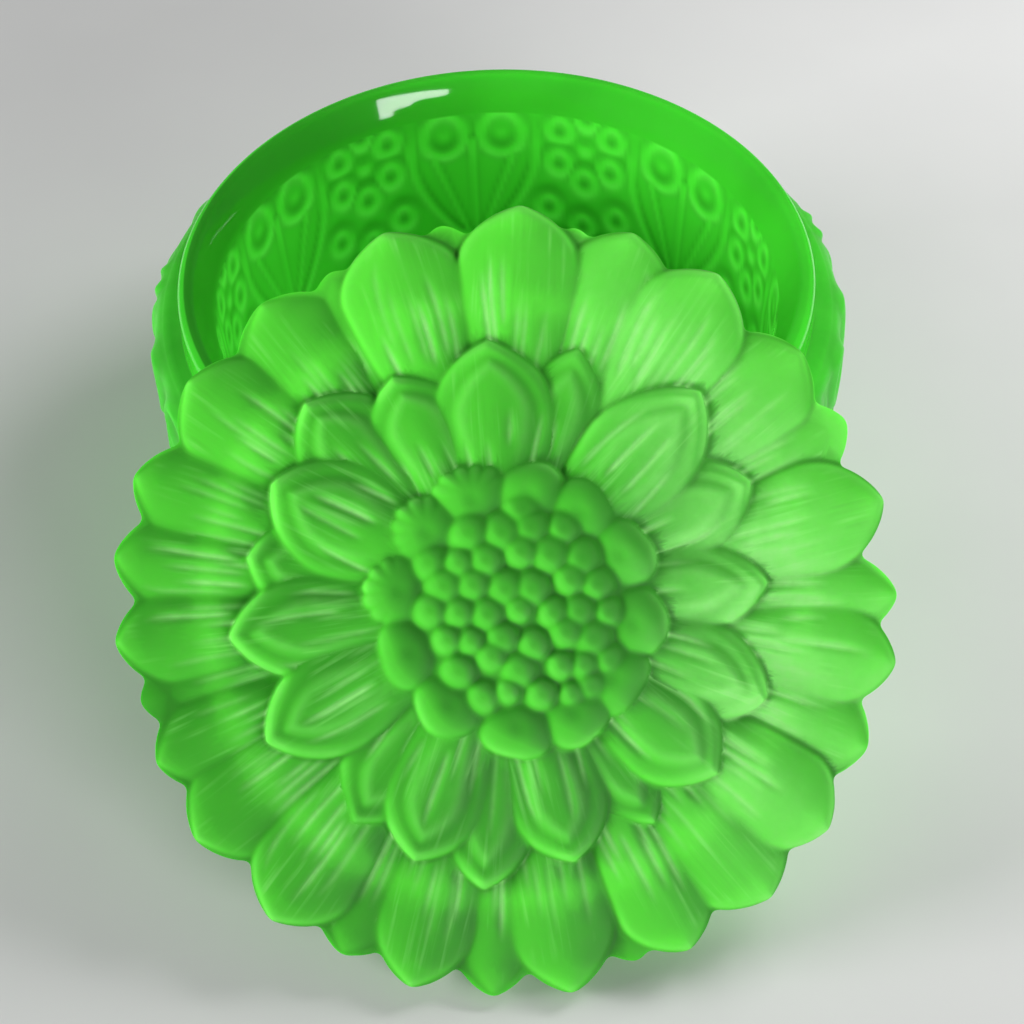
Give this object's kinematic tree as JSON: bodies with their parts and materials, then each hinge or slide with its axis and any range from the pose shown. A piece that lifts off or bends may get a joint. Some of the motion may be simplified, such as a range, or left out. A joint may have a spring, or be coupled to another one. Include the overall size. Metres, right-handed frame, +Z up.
{
  "type": "powder jar",
  "caption": "Round pressed-glass powder jar: a bowl with a plain neck and floral relief, and a loose sunflower-shaped lid leaning on its rim.",
  "frame": {"origin": "centre of the bowl's flat foot, on the surface that it stands on", "axes": "+Z up along the bowl's axis; -Y is the front, where the lid leans; +X is right as seen from the front"},
  "size_m": [0.1292, 0.1845, 0.0857],
  "materials": {
    "bowl_glass": "green pressed glass, polished on the neck and inside, acid-frosted on the outer relief",
    "lid_glass": "green pressed glass, acid-frosted"
  },
  "bodies": {
    "bowl": {"bowl": "bowl_glass"},
    "lid": {"lid": "lid_glass"}
  },
  "joints": [
    {"name": "lid_lift", "type": "slide", "parent": "bowl", "child": "lid", "axis": [0, 0, 1], "range_m": [0, 0.075]}
  ]
}
